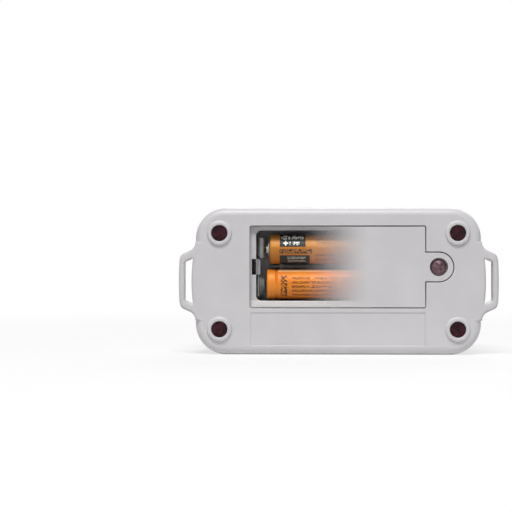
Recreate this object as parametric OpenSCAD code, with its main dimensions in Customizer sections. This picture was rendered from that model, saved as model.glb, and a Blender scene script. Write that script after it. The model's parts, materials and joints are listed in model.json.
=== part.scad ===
// Temperature data logger: a two-part moulded case with strap lugs, four magnets and a
// screw-locked battery cover on its back, and a display with two push buttons on its front.
//
// Every module draws in one working frame: x along the case, y up its face, and z out of
// the back face, with the middle of the case at the origin. stand() then sets the logger on
// its long lower side, with the back towards -Y.

/* [Case] */
// Length of the case, without its strap lugs
case_w = 100.2; // [96:0.2:125]
// Height of the case
case_h = 51.6; // [50:0.2:62]
// Depth of the case, from its front face to its back face
case_d = 24; // [23.4:0.2:32]
// Depth of the rear half, from the back face to the parting line
rear_d = 14; // [12.5:0.1:15.5]
// Wall thickness of both halves
wall = 2; // [1.7:0.1:2.2]
// Radius of the four corners of the outline
corner_r = 10.8; // [10:0.1:13]
// Radius of the rounded rim between a face and the sides
rim_r = 2.7; // [1:0.1:3.5]
// Height of the tongue that locates one half in the other
tongue_h = 1.2; // [0.6:0.1:1.8]
// Thickness of the tongue
tongue_t = 0.9; // [0.6:0.1:1]

/* [Strap lugs] */
// How far each lug stands out from the side of the case
lug_reach = 5.8; // [5.4:0.1:8]
// Height of the lug over its rounded outer corners
lug_h = 19.9; // [18.6:0.1:26]
// Thickness of the lug, measured from the back face
lug_t = 3.4; // [2.4:0.1:5]
// Slope of the lug's upper and lower edges, in degrees
lug_slope = 24; // [15:1:32]
// Radius of the lug's outer corners
lug_corner_r = 2.2; // [1.2:0.1:3]
// Radius of the hollow where the lug runs into the case
lug_root_r = 3.3; // [1.5:0.1:4.5]
// Width of the bar outside the strap slot
lug_bar = 2.1; // [1.6:0.1:2.6]
// Length of the strap slot on its longer side
slot_l = 16; // [12:0.2:16.4]
// Distance from the side of the case to the slot
slot_gap = 0.85; // [0.7:0.05:1.6]

/* [Magnets and case screws] */
// Distance of each magnet's centre from the end of the case
boss_inset_x = 8.45; // [7.6:0.05:9.4]
// Distance of each magnet's centre from the long side of the case
boss_inset_y = 8.95; // [7.6:0.05:9.2]
// Outer diameter of the raised ring round a magnet
boss_d = 8.7; // [8.2:0.1:10]
// Height of the raised ring over the back face
boss_rise = 0.8; // [0.4:0.1:1.4]
// Diameter of a magnet
magnet_d = 5.4; // [5:0.1:6.2]
// Thickness of a magnet
magnet_t = 2; // [1.5:0.1:2.5]
// Depth of a magnet's face below the rim of its ring
magnet_recess = 0.4; // [0.2:0.1:0.8]
// Gap round a magnet in its pocket
magnet_gap = 0.15; // [0.1:0.05:0.4]
// Diameter of a case screw's thread
case_screw_d = 2.2; // [1.8:0.1:2.4]
// Diameter of a case screw's head
case_head_d = 4.3; // [3.6:0.1:4.4]
// Height of a case screw's head
case_head_h = 1.8; // [1.4:0.1:2]
// Outer diameter of the screw posts inside the case
post_d = 7.4; // [6.8:0.1:8]

/* [Cells and battery bay] */
// Diameter of a cell over its sleeve
cell_d = 10.5; // [10.1:0.05:10.6]
// Length of a cell over its positive nub
cell_l = 44.5; // [43.4:0.1:45.2]
// Distance between the centre lines of the two cells
cell_pitch = 12.4; // [11:0.1:12.8]
// Gap between the upper cell and the upper wall of the bay
bay_top_gap = 1.4; // [0.6:0.1:2]
// Gap between the lower cell and the lower wall of the bay
bay_low_gap = 0.6; // [0.4:0.1:2]
// Room for the contacts at the left end of the bay
contact_room = 3.5; // [3.4:0.1:4.6]
// Room for the bridge contact at the right end of the bay
bridge_room = 2.6; // [2.2:0.1:3.6]
// Thickness of the walls and floor of the bay
bay_wall = 1.2; // [0.9:0.1:1.4]
// Radius of the bay's corners
bay_corner_r = 1.8; // [0.6:0.1:2]
// Diameter of the wire of the contact springs
wire_d = 0.6; // [0.4:0.05:0.7]

/* [Battery cover] */
// Length of the cover, without its screw tab
cover_w = 61; // [60:0.5:66]
// Place of the cover's middle along the case, from the middle of the case
cover_x = -0.2; // [-2:0.1:2]
// Place of the cover's middle up the case, from the middle of the case
cover_y = 5; // [4.4:0.1:6]
// Thickness of the cover
cover_t = 1.6; // [1.2:0.1:1.8]
// Width of the ledge above the bay
ledge_top = 1.2; // [1:0.1:2.2]
// Width of the ledge below the bay
ledge_low = 2.1; // [1:0.1:2.4]
// Width of the ledge at the hook end of the bay
ledge_end = 1.9; // [1.7:0.1:2.4]
// Gap between the cover and the case
cover_gap = 0.4; // [0.2:0.05:0.5]
// Distance from the end of the cover to the screw's centre
tab_reach = 4.8; // [4.6:0.1:7]
// Radius of the round end of the screw tab
tab_r = 5; // [4.9:0.1:6]
// Width of the hook that holds the cover's far end
hook_w = 5; // [3:0.1:5.2]
// Thickness of the hook's leg and of its toe
hook_t = 0.7; // [0.6:0.05:0.9]
// How far the hook's toe reaches under the case wall
hook_reach = 1; // [0.7:0.1:1.3]

/* [Cover screw] */
// Diameter of the cover screw's thread
screw_d = 2.5; // [2:0.1:2.6]
// Diameter of the cover screw's head
screw_head_d = 5.5; // [4.6:0.1:5.6]
// Height of the cover screw's head
screw_head_h = 1.7; // [1.4:0.1:2]
// Pitch of the cover screw's thread
screw_pitch = 0.8; // [0.5:0.1:0.8]
// Turns that free the cover screw from its insert
screw_turns = 4; // [3:1:4]
// Length of the threaded insert
insert_l = 3.2; // [2.8:0.1:3.6]
// Outer diameter of the threaded insert
insert_d = 4.4; // [4:0.1:4.8]
// Running gap between the cover screw and what it passes through
screw_gap = 0.2; // [0.15:0.05:0.3]
// Thickness of the clip that keeps the screw in the cover
clip_t = 0.5; // [0.4:0.05:0.8]

/* [Label panel] */
// Length of the shallow label panel
label_w = 61; // [40:1:66]
// Height of the shallow label panel
label_h = 11.6; // [8:0.2:12]
// Distance of the label panel's middle below the middle of the case
label_drop = 16.8; // [16.2:0.1:17.4]
// Depth of the label panel
label_t = 0.15; // [0.1:0.05:0.5]

/* [Display] */
// Width of the clear window
window_w = 60; // [50:1:62]
// Height of the clear window
window_h = 28; // [22:1:28]
// Height of the window's middle over the middle of the case
window_y = 5; // [4:0.1:6]
// Thickness of the clear window
window_t = 1; // [0.8:0.1:1.2]
// Width of the rim on which the window is seated
window_seat = 2; // [1:0.1:2.5]
// Thickness of the display glass
glass_t = 2; // [1.6:0.1:2.2]
// Thickness of the foam gasket in front of the glass
gasket_t = 0.6; // [0.4:0.1:0.8]

/* [Buttons] */
// Length of a push button
button_w = 14; // [12:0.5:16]
// Height of a push button
button_h = 7; // [6:0.2:7.4]
// Distance of each button from the middle of the case
button_x = 14; // [12.6:0.2:17]
// Distance of the buttons below the middle of the case
button_drop = 14.9; // [14.6:0.1:15.4]
// How far a button stands out of the front face
button_rise = 0.8; // [0.5:0.1:1.4]
// Travel of a button
button_travel = 0.4; // [0.2:0.05:0.5]
// Gap between a button and its opening
button_gap = 0.25; // [0.15:0.05:0.35]

/* [Circuit board] */
// Thickness of the circuit board
board_t = 1.6; // [1:0.1:1.8]
// Gap between the board's edge and the inside of the case
board_gap = 0.6; // [0.3:0.1:1]
// Room for the parts between the bay's floor and the board
board_room = 1.8; // [1.7:0.1:2]
// Thread diameter of the board screws
board_screw_d = 1.9; // [1.6:0.1:2]

/* [Vents] */
// Number of vent slots over the temperature sensor
vent_count = 4; // [2:1:4]
// Length of a vent slot
vent_l = 9; // [5:0.5:9]
// Width of a vent slot
vent_w = 1.2; // [0.8:0.1:1.6]
// Distance between neighbouring vent slots
vent_pitch = 2.6; // [2.4:0.1:2.8]

/* [Hidden] */

// Overshoot that carries a cut clear through the face that it opens
past = 0.5;
// Gap between two flat faces that meet but belong to moving pieces
seat_gap = 0.1;
// Smoothness of round solids
$fn = 64;

// Levels along z, from the back face down to the front face
back_z = case_d / 2;
front_z = -case_d / 2;
part_z = back_z - rear_d;
back_inner_z = back_z - wall;
front_inner_z = front_z + wall;
boss_top_z = back_z + boss_rise;
magnet_top_z = boss_top_z - magnet_recess;
magnet_seat_z = magnet_top_z - magnet_t;
cover_low_z = back_z - cover_t;
ledge_z = cover_low_z - seat_gap;
cell_top_gap = 0.2;
cell_floor_gap = 0.1;
cell_z = ledge_z - cell_top_gap - cell_d / 2;
bay_floor_z = cell_z - cell_d / 2 - cell_floor_gap;
bay_low_z = bay_floor_z - bay_wall;
board_back_z = bay_low_z - board_room;
board_front_z = board_back_z - board_t;
glass_front_z = front_inner_z + gasket_t;
glass_back_z = glass_front_z + glass_t;

// Groove that shows where the two halves meet
seam_w = 0.3;
seam_depth = 0.3;

// Bows of the lug's outer edge and of the slot's inner side
lug_bow = 0.4;
root_sink = 0.05;
slot_bow = 0.5;

// Magnets, case screws and their posts
boss_x = case_w / 2 - boss_inset_x;
boss_y = case_h / 2 - boss_inset_y;
boss_lip_r = 0.7;
mouth_t = 0.25;
head_gap = 0.25;
head_seat_z = magnet_seat_z - case_head_h - 2 * head_gap;
head_bore_d = case_head_d + 2 * head_gap;
pilot_gap = 0.05;
post_floor = 1;

// Battery bay and cells
bay_h = cell_pitch + cell_d + bay_top_gap + bay_low_gap;
bay_l = cell_l + contact_room + bridge_room;
cover_h = bay_h + ledge_top + ledge_low;
bay_y = cover_y + (ledge_low - ledge_top) / 2;
cells_y = bay_y + (bay_low_gap - bay_top_gap) / 2;
cover_left = cover_x - cover_w / 2;
cover_right = cover_x + cover_w / 2;
bay_left = cover_left + ledge_end;
bay_right = bay_left + bay_l;
cell_left = bay_left + contact_room;
cell_right = cell_left + cell_l;
cell_ys = [cells_y + cell_pitch / 2, cells_y - cell_pitch / 2];
saddle_t = 1.2;
saddle_gap = 0.15;
saddle_places = [0.12, 0.5, 0.88];
rib_t = 0.8;

// Cell profile
sleeve_t = 0.12;
can_r = cell_d / 2 - sleeve_t;
nub_r = 1.9;
nub_h = 0.8;
shoulder_h = 0.2;
shoulder_r = 3.6;
end_round = 1;
sleeve_lap = 0.7;
groove_at = 3.6;
groove_w = 1;
groove_t = 0.3;

// Contacts
strip_t = 0.4;
contact_gap = 0.1;
contact_inset = 0.6;
plate_x = bay_left + contact_inset;
fold_w = 2.3;
fold_corner_r = 0.5;
contact_h = 8;
leaf_w = 7;
contact_shift = 0.55;
contact_ys = [cell_ys[0] + contact_shift, cell_ys[1] - contact_shift];
tail_w = 1.4;
tail_gap = 0.3;
spring_turns = 3;
spring_base_r = 3.4;
spring_tip_r = 2;
spring_rings = 18;
wire_sides = 8;

// Cover, hook and screw cup
cover_corner_r = 0.3;
screw_x = cover_right + tab_reach;
pivot_x = cover_left + cover_t / 2;
pivot_z = back_z - cover_t / 2;
cup_wall = 1.1;
cup_floor = 1.2;
head_clear = 0.45;
recess_turn = 35;
cup_bore_d = screw_head_d + 2 * head_clear;
cup_d = cup_bore_d + 2 * cup_wall;
head_sink = 0.4;
screw_seat_z = back_z - head_sink - screw_head_h;
cup_floor_z = screw_seat_z - seat_gap;
cup_low_z = cup_floor_z - cup_floor;
screw_travel = screw_pitch * screw_turns;
clip_top_z = cup_low_z - seat_gap - screw_travel;
clip_low_z = clip_top_z - clip_t;
clip_d = screw_d + 1.9;
clip_groove_d = screw_d - 0.6;
clip_slack = 0.1;
insert_top_z = clip_low_z - 0.3;
insert_low_z = insert_top_z - insert_l;
insert_gap = 0.05;
tip_z = insert_top_z - (screw_travel - 0.4);
tray_t = 1.2;
boss_wall = 1.2;
cup_pocket_d = cup_d + 2 * cover_gap;
hook_gap = 0.3;
hook_x = pivot_x + 0.25;
catch_z = ledge_z - tray_t;
toe_top_z = catch_z - hook_gap;
toe_low_z = toe_top_z - hook_t;
notch_w = hook_w + 2 * hook_gap;
divider_t = 1.6;
divider_rib_t = 0.7;
divider_rib_h = 0.6;
divider_top_z = toe_low_z - 0.9;
notch_depth = 5;
cover_rib_h = 1.9;

// Display stack
frame_wall = 1.3;
glass_w = window_w - 2 * window_seat - 2;
glass_h = window_h - 2 * window_seat;
glass_gap = 0.15;
frame_w = glass_w + 2 * glass_gap + 2 * frame_wall;
frame_h = glass_h + 2 * glass_gap + 2 * frame_wall;
frame_shelf = 1.2;
strip_w = 2;
strip_inset = 4;
strip_l = glass_w - 2 * strip_inset;
gasket_w = 1;
window_r = 2;
window_gap = 0.1;

// Buttons and switches
flange_w = 1;
flange_t = 0.8;
flange_top_z = front_inner_z + seat_gap;
flange_low_z = flange_top_z + flange_t;
switch_size = 6.2;
switch_h = 2.8;
switch_low_z = board_front_z - switch_h;
plunger_d = 3.3;
plunger_gap = 0.15;
plunger_depth = 1.4;
chamfer = 0.35;

// Circuit board
board_w = case_w - 2 * wall - 2 * board_gap;
board_h = case_h - 2 * wall - 2 * board_gap;
notch_r = post_d / 2 + 0.6;
board_post_d = 5;
board_post_x = (frame_w / 2 + boss_x) / 2;
board_post_y = 8.2;
board_head_d = 3.6;
board_head_h = 1.2;
pipe_d = 2.6;
pipe_flange_d = 4.2;
pipe_flange_t = 0.7;
diode_size = [3.2, 1.6, 1.1];
sensor_size = [3, 1.6, 1.1];

// Parts on the back of the board, in a row below the battery bay
chip_y = -15.5;
processor_x = 6;
processor_w = 7;
processor_h = 1.1;
memory_x = -9;
memory_w = 5;
memory_h = 1.3;
crystal_x = 18;
crystal_size = [7, 3, 1.3];
leg_w = 0.3;
leg_reach = 1;
leg_rise = 0.1;
vent_inset = 8.6;
vent_x = case_w / 2 - vent_inset;

// Points along an arc of radius r about c, from angle a0 to a1 in n steps
function arc(c, r, a0, a1, n) = [for (i = [0:n]) let (a = a0 + (a1 - a0) * i / n) c + r * [cos(a), sin(a)]];

// Sets the working frame upright: the case stands on its long side and its back faces -Y
module stand() {
    translate([0, (boss_rise - button_rise) / 2, case_h / 2]) rotate([90, 0, 0]) children();
}

// Repeats its children at the four corners of a rectangle, half sizes x and y
module at_corners(x, y) {
    for (sx = [-1, 1], sy = [-1, 1]) translate([sx * x, sy * y, 0]) children();
}

// Extrudes a flat outline from one level to another
module layer(z_low, z_high) {
    translate([0, 0, z_low]) linear_extrude(z_high - z_low) children();
}

// Upright round bar between two levels
module bar(d, z_low, z_high) {
    translate([0, 0, z_low]) cylinder(h = z_high - z_low, d = d);
}

// Rectangle with round corners, made of true arcs
module round_rect(w, h, r) {
    square([w - 2 * r, h], center = true);
    square([w, h - 2 * r], center = true);
    at_corners(w / 2 - r, h / 2 - r) circle(r);
}

// Oblong with half-round ends, its whole length w along x
module oblong(w, h) {
    square([w - h, h], center = true);
    for (s = [-1, 1]) translate([s * (w - h) / 2, 0]) circle(d = h);
}

// Section of a half case: straight sides and one rounded rim at the top
module rim_section(half, height, r) {
    translate([-half, 0]) square([2 * half, height - r]);
    translate([r - half, 0]) square([2 * (half - r), height]);
    for (s = [-1, 1]) translate([s * (half - r), height - r]) circle(r);
}

// Block with round corners and one rounded rim, as both halves are moulded
module rim_block(w, h, height) {
    rotate([90, 0, 0]) linear_extrude(h - 2 * corner_r, center = true) rim_section(w / 2, height, rim_r);
    rotate([90, 0, 90]) linear_extrude(w - 2 * corner_r, center = true) rim_section(h / 2, height, rim_r);
    at_corners(w / 2 - corner_r, h / 2 - corner_r) rotate_extrude() intersection() {
        rim_section(corner_r, height, rim_r);
        square([corner_r, height]);
    }
}

// Outline of the inside of the case, made smaller all round by inset
module cavity_outline(inset) {
    round_rect(case_w - 2 * wall - 2 * inset, case_h - 2 * wall - 2 * inset, corner_r - wall - inset);
}

// Outline of the locating tongue, and of its groove when grown by a gap
module tongue_outline(gap) {
    difference() {
        cavity_outline(-tongue_t - gap);
        cavity_outline(0);
    }
}

// Outline of the battery cover with its screw tab, grown all round by a gap
module cover_outline(grow) {
    translate([cover_x, cover_y]) round_rect(cover_w + 2 * grow, cover_h + 2 * grow, cover_corner_r + grow);
    translate([cover_right - tab_r, cover_y - tab_r - grow]) square([tab_reach + tab_r, 2 * (tab_r + grow)]);
    translate([screw_x, cover_y]) circle(tab_r + grow);
}

// Outline of the battery bay, grown all round by a wall
module bay_outline(grow) {
    translate([(bay_left + bay_right) / 2, bay_y])
        round_rect(bay_l + 2 * grow, bay_h + 2 * grow, bay_corner_r + grow);
}

// Outline of one strap lug, on the right side of the case
module lug_outline() {
    side = case_w / 2 - root_sink;
    up = 90 - lug_slope;
    slope_out = [cos(up), sin(up)];
    bow_r = (lug_h * lug_h / 4 + lug_bow * lug_bow) / (2 * lug_bow);
    corner_c = [case_w / 2 + lug_reach - lug_corner_r - lug_bow, lug_h / 2 - lug_corner_r];
    reach_to_slope = corner_c * slope_out + lug_corner_r + lug_root_r;
    root_c = [side + lug_root_r, (reach_to_slope - (side + lug_root_r) * cos(up)) / sin(up)];
    upper = concat(arc(root_c, lug_root_r, 180, 180 + up, 7), arc(corner_c, lug_corner_r, up, 5, 6));
    lower = [for (i = [len(upper) - 1:-1:0]) [upper[i][0], -upper[i][1]]];
    bow_a = asin((corner_c[1] - lug_bow) / bow_r);
    bow = arc([case_w / 2 + lug_reach - bow_r, 0], bow_r, bow_a, -bow_a, 6);
    back = case_w / 2 - lug_root_r;
    polygon(concat([[back, root_c[1]]], upper, bow, lower, [[back, -root_c[1]]]));
}

// Outline of the strap slot: a bowed side next to the case and a shorter straight outer side
module slot_outline() {
    near = case_w / 2 + slot_gap;
    far = case_w / 2 + lug_reach - lug_bar;
    half = slot_l / 2;
    bow_r = (half * half + slot_bow * slot_bow) / (2 * slot_bow);
    side = arc([near + slot_bow - bow_r, 0], bow_r, -asin(half / bow_r), asin(half / bow_r), 8);
    far_half = half - (far - near) * tan(lug_slope);
    polygon(concat(side, [[far, far_half], [far, -far_half]]));
}

// Both strap lugs, level with the back face
module strap_lugs() {
    for (m = [0, 1]) mirror([m, 0, 0]) layer(back_z - lug_t, back_z) lug_outline();
}

// Raised ring and hollow post of one case screw, with the magnet's pocket left to be cut
module rear_post() {
    bar(post_d, part_z, back_z - wall / 2);
    bar(boss_d, back_inner_z, boss_top_z - boss_lip_r);
    bar(boss_d - 2 * boss_lip_r, back_inner_z, boss_top_z);
    translate([0, 0, boss_top_z - boss_lip_r]) rotate_extrude()
        translate([boss_d / 2 - boss_lip_r, 0]) circle(boss_lip_r);
}

// Everything that is bored out of one rear post: magnet pocket, head bore and screw hole
module rear_post_bores() {
    pocket_d = magnet_d + 2 * magnet_gap;
    bar(pocket_d, magnet_seat_z, boss_top_z + past);
    translate([0, 0, boss_top_z - mouth_t]) cylinder(h = 2 * mouth_t, d1 = pocket_d, d2 = pocket_d + 4 * mouth_t);
    bar(head_bore_d, head_seat_z, boss_top_z);
    bar(case_screw_d + 2 * screw_gap, part_z - past, boss_top_z);
}

// Stepped boss under the screw tab: it takes the cover's cup, the clip and the insert
module tab_boss() {
    translate([screw_x, cover_y, 0]) {
        bar(cup_pocket_d + 2 * boss_wall, cup_low_z - cover_gap - boss_wall, back_inner_z);
        bar(insert_d + 2 * boss_wall + 1, insert_low_z - boss_wall, cup_low_z);
    }
}

// Bores of the tab boss
module tab_boss_bores() {
    translate([screw_x, cover_y, 0]) {
        bar(cup_pocket_d, cup_low_z - cover_gap, back_z + past);
        bar(clip_d + 4 * screw_gap, insert_top_z, back_z);
        bar(insert_d + 2 * insert_gap, insert_low_z, back_z);
    }
}

// Low saddles across the bay that carry the cells, and the rib between the cells
module bay_saddles() {
    saddle_top = cell_z - cell_d / 4;
    difference() {
        for (p = saddle_places) translate([cell_left + p * cell_l - saddle_t / 2, bay_y - bay_h / 2 - past, 0])
            layer(bay_floor_z - past, saddle_top) square([saddle_t, bay_h + 2 * past]);
        for (y = cell_ys) translate([bay_left, y, cell_z]) rotate([0, 90, 0])
            cylinder(h = bay_l, d = cell_d + 2 * saddle_gap);
    }
    translate([cell_left + saddle_t, cells_y - rib_t / 2, 0])
        layer(bay_floor_z - past, saddle_top) square([cell_l - 2 * saddle_t, rib_t]);
}

// Wall between the two contacts, low enough for the cover's hook to swing over its rib
module bay_divider() {
    translate([hook_x + hook_t / 2 + hook_gap, cover_y - notch_w / 2, 0]) {
        layer(bay_floor_z - past, divider_top_z) square([divider_t, notch_w]);
        translate([divider_t - divider_rib_t, 0, 0])
            layer(divider_top_z - past, divider_top_z + divider_rib_h) square([divider_rib_t, notch_w]);
    }
}

// Pads on the end wall of the bay, against which the two contacts stand
module contact_pads() {
    for (y = contact_ys) translate([bay_left - past, y - leaf_w / 4, 0])
        layer(bay_floor_z - past, cell_z) square([contact_inset - contact_gap + past, leaf_w / 2]);
}

// Opening in the ledge through which the cover's hook reaches under the ledge's end. To the
// right it is cut down to the divider, where the hook swings.
module hook_notch() {
    toe_room_left = cover_left - cover_gap - hook_reach - hook_gap;
    leg_room_left = hook_x - hook_t / 2 - hook_gap;
    leg_room_right = hook_x + hook_t / 2 + hook_gap;
    translate([0, cover_y - notch_w / 2, 0]) {
        translate([toe_room_left, 0, 0]) layer(toe_low_z - notch_depth, catch_z)
            square([leg_room_right - toe_room_left, notch_w]);
        translate([leg_room_left, 0, 0]) layer(divider_top_z, back_z)
            square([leg_room_right + divider_t - leg_room_left, notch_w]);
    }
}

// Slots in the bay's floor for the tails of the contacts
module tail_slots() {
    for (y = contact_ys) translate([plate_x + strip_t / 2, y, 0])
        layer(bay_low_z - past, bay_floor_z + past)
            square([strip_t + 2 * tail_gap, tail_w + 2 * tail_gap], center = true);
}

// Rear half of the case, with the battery bay, the screw posts and the strap lugs
module rear_case() {
    color("gainsboro") {
        difference() {
            union() {
                difference() {
                    translate([0, 0, part_z]) rim_block(case_w, case_h, rear_d);
                    layer(part_z - past, back_inner_z) cavity_outline(0);
                }
                layer(part_z - tongue_h, part_z + past) tongue_outline(0);
                strap_lugs();
                at_corners(boss_x, boss_y) rear_post();
                layer(ledge_z - tray_t, back_inner_z + past) cover_outline(cover_gap + bay_wall);
                layer(bay_low_z, back_inner_z) bay_outline(bay_wall);
                tab_boss();
            }
            layer(bay_floor_z, back_z + past) bay_outline(0);
            layer(ledge_z, back_z + past) cover_outline(cover_gap);
            at_corners(boss_x, boss_y) rear_post_bores();
            tab_boss_bores();
            hook_notch();
            tail_slots();
            for (m = [0, 1]) mirror([m, 0, 0]) layer(back_z - lug_t - past, back_z + past) slot_outline();
            translate([cover_x, -label_drop, 0]) layer(back_z - label_t, back_z + past)
                square([label_w, label_h], center = true);
        }
        intersection() {
            union() {
                bay_saddles();
                bay_divider();
                contact_pads();
            }
            layer(bay_low_z, cell_z + cell_d) bay_outline(bay_wall / 2);
        }
    }
}

// Places of the screws that hold the circuit board
module at_board_posts() {
    at_corners(board_post_x, board_post_y) children();
}

// Opening for one push button in the front wall, grown by a gap
module button_outline(grow) {
    oblong(button_w + 2 * grow, button_h + 2 * grow);
}

// Front half of the case, with the window seat, button openings, vents and posts
module front_case() {
    color("whitesmoke") difference() {
        union() {
            difference() {
                translate([0, 0, part_z]) mirror([0, 0, 1]) rim_block(case_w, case_h, part_z - front_z);
                layer(front_inner_z, part_z + past) cavity_outline(0);
                layer(part_z - tongue_h - seat_gap, part_z + past) tongue_outline(seat_gap);
            }
            at_corners(boss_x, boss_y) bar(post_d, front_inner_z - past, part_z);
            at_board_posts() bar(board_post_d, front_inner_z - past, board_front_z);
        }
        layer(part_z - seam_w, part_z + past) difference() {
            square([case_w + 2 * past, case_h + 2 * past], center = true);
            round_rect(case_w - 2 * seam_depth, case_h - 2 * seam_depth, corner_r - seam_depth);
        }
        at_corners(boss_x, boss_y)
            bar(case_screw_d + 2 * pilot_gap, front_inner_z + post_floor, part_z + past);
        at_board_posts()
            bar(board_screw_d + 2 * pilot_gap, front_inner_z + post_floor / 2, board_front_z + past);
        translate([0, window_y, 0]) {
            layer(front_z - past, front_z + window_t)
                round_rect(window_w + 2 * window_gap, window_h + 2 * window_gap, window_r);
            layer(front_z - past, front_inner_z + past)
                round_rect(window_w - 2 * window_seat, window_h - 2 * window_seat, window_r / 2);
        }
        for (s = [-1, 1]) translate([s * button_x, -button_drop, 0])
            layer(front_z - past, front_inner_z + past) button_outline(button_gap);
        translate([0, -button_drop, 0]) bar(pipe_d + 2 * seat_gap, front_z - past, front_inner_z + past);
        for (i = [0:vent_count - 1])
            translate([vent_x + (i - (vent_count - 1) / 2) * vent_pitch, 0, 0])
                layer(front_z - past, front_inner_z + past) rotate(90) oblong(vent_l, vent_w);
    }
}

// Hook under the far end of the cover: a leg through the ledge and a toe under the case wall
module cover_hook() {
    toe_left = cover_left - cover_gap - hook_reach;
    translate([0, cover_y - hook_w / 2, 0]) {
        translate([hook_x - hook_t / 2, 0, 0]) layer(toe_low_z, cover_low_z + past) square([hook_t, hook_w]);
        translate([toe_left, 0, 0]) layer(toe_low_z, toe_top_z) square([hook_x - toe_left, hook_w]);
    }
}

// Battery cover: flat plate, screw tab with its cup, stiffening rib and hook. The edge over
// the hook is a half round, about which the cover tilts out of the case.
module battery_cover() {
    color("gainsboro") difference() {
        union() {
            layer(cover_low_z, back_z) intersection() {
                cover_outline(0);
                translate([pivot_x, cover_y - cover_h]) square([cover_w + 2 * tab_reach, 2 * cover_h]);
            }
            translate([pivot_x, cover_y, pivot_z]) rotate([90, 0, 0])
                cylinder(h = cover_h, d = cover_t, center = true);
            translate([screw_x, cover_y, 0]) bar(cup_d, cup_low_z, back_z);
            translate([cell_left + end_round, cells_y - rib_t / 2, 0])
                layer(cover_low_z - cover_rib_h, back_z - cover_t / 2) square([cell_l - 2 * end_round, rib_t]);
            cover_hook();
        }
        translate([screw_x, cover_y, 0]) {
            bar(cup_bore_d, cup_floor_z, back_z + past);
            bar(screw_d + 2 * screw_gap, cup_low_z - past, back_z);
        }
    }
}

// Cross recess for a screwdriver, cut into a head whose top is at z
module cross_recess(z, span, slot, depth) {
    for (a = [0, 90]) rotate(a) layer(z - depth, z + past) square([span, slot], center = true);
}

// Pan head screw with a domed head: underside of the head at seat_z, tip at low_z
module pan_screw(d, head_d, head_h, seat_z, low_z) {
    tip = d / 4;
    shoulder = head_h * 0.55;
    dome_r = (pow(head_d / 2, 2) + pow(head_h - shoulder, 2)) / (2 * (head_h - shoulder));
    difference() {
        union() {
            bar(d, low_z + tip, seat_z + head_h / 2);
            translate([0, 0, low_z]) cylinder(h = tip, d1 = d - 2 * tip, d2 = d);
            intersection() {
                bar(head_d, seat_z, seat_z + head_h);
                translate([0, 0, seat_z + head_h - dome_r]) sphere(dome_r);
            }
        }
        cross_recess(seat_z + head_h, head_d * 0.6, head_d * 0.17, head_h * 0.7);
    }
}

// Captive screw of the battery cover, with a groove for its clip
module cover_screw() {
    color("dimgray") translate([screw_x, cover_y, 0]) rotate(recess_turn) difference() {
        pan_screw(screw_d, screw_head_d, screw_head_h, screw_seat_z, tip_z);
        difference() {
            bar(screw_d + past, clip_low_z - clip_slack, clip_top_z + clip_slack);
            bar(clip_groove_d, clip_low_z - past, clip_top_z + past);
        }
    }
}

// Ring clip that keeps the screw in the cover
module screw_clip() {
    color("silver") translate([screw_x, cover_y, 0]) difference() {
        bar(clip_d, clip_low_z, clip_top_z);
        bar(clip_groove_d + 2 * clip_slack, clip_low_z - past, clip_top_z + past);
    }
}

// Threaded insert in the case, with its thread left plain
module threaded_insert() {
    color("goldenrod") translate([screw_x, cover_y, 0]) difference() {
        bar(insert_d, insert_low_z, insert_top_z);
        bar(screw_d + 2 * screw_gap, insert_low_z - past, insert_top_z + past);
    }
}

// Disc magnet in the ring at one corner of the back
module magnet(sx, sy) {
    color([0.2, 0.14, 0.16]) translate([sx * boss_x, sy * boss_y, 0])
        bar(magnet_d, magnet_seat_z, magnet_top_z);
}

// Four long screws that join the halves, hidden under the magnets
module case_screws() {
    color("silver") at_corners(boss_x, boss_y)
        pan_screw(case_screw_d, case_head_d, case_head_h, head_seat_z, front_inner_z + post_floor + past);
}

// Half profile of a cell along its axis, from the flat end at 0 to the nub at cell_l
module cell_profile(r) {
    body_l = cell_l - nub_h - shoulder_h;
    polygon(concat(
        [[0, 0]],
        arc([end_round, r - end_round], end_round, 180, 90, 5),
        [[groove_at - groove_w / 2, r], [groove_at, r - groove_t], [groove_at + groove_w / 2, r]],
        arc([body_l - end_round, r - end_round], end_round, 90, 0, 5),
        [[body_l, shoulder_r], [body_l + shoulder_h, shoulder_r], [body_l + shoulder_h, nub_r]],
        [[cell_l, nub_r], [cell_l, 0]]
    ));
}

// Places one cell in the bay; dir is 1 when the nub points right and -1 when it points left
module place_cell(y, dir) {
    translate([dir > 0 ? cell_left : cell_right, y, cell_z]) mirror([dir > 0 ? 0 : 1, 0, 0])
        rotate([90, 0, 90]) rotate_extrude() rotate(90) mirror([0, 1, 0]) children();
}

// Steel can of a cell, with its nub and the groove of its crimp
module cell_can(y, dir) {
    color("silver") place_cell(y, dir) cell_profile(can_r - contact_gap / 10);
}

// Printed sleeve round a cell, open at both ends
module cell_sleeve(y, dir) {
    body_l = cell_l - nub_h - shoulder_h;
    color("darkorange") place_cell(y, dir) difference() {
        cell_profile(cell_d / 2);
        cell_profile(can_r);
        square([end_round - sleeve_lap, cell_d]);
        translate([body_l - end_round + sleeve_lap, 0]) square([cell_l, cell_d]);
    }
}

// Conical spring along +x: a round wire swept along a narrowing helix
module contact_spring(length) {
    n = spring_turns * spring_rings;
    wire_r = wire_d / 2;
    points = [for (i = [0:n], j = [0:wire_sides - 1])
        let (t = i / n, a = 360 * spring_turns * t, b = 360 * j / wire_sides,
             r = spring_base_r + (spring_tip_r - spring_base_r) * t + wire_r * cos(b))
        [wire_r + (length - wire_d) * t + wire_r * sin(b), r * cos(a), r * sin(a)]];
    sides = [for (i = [0:n - 1], j = [0:wire_sides - 1])
        let (k = (j + 1) % wire_sides, p = i * wire_sides, q = p + wire_sides)
        [p + j, p + k, q + k, q + j]];
    ends = [[for (j = [wire_sides - 1:-1:0]) j], [for (j = [0:wire_sides - 1]) n * wire_sides + j]];
    polyhedron(points, concat(sides, ends));
}

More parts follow.
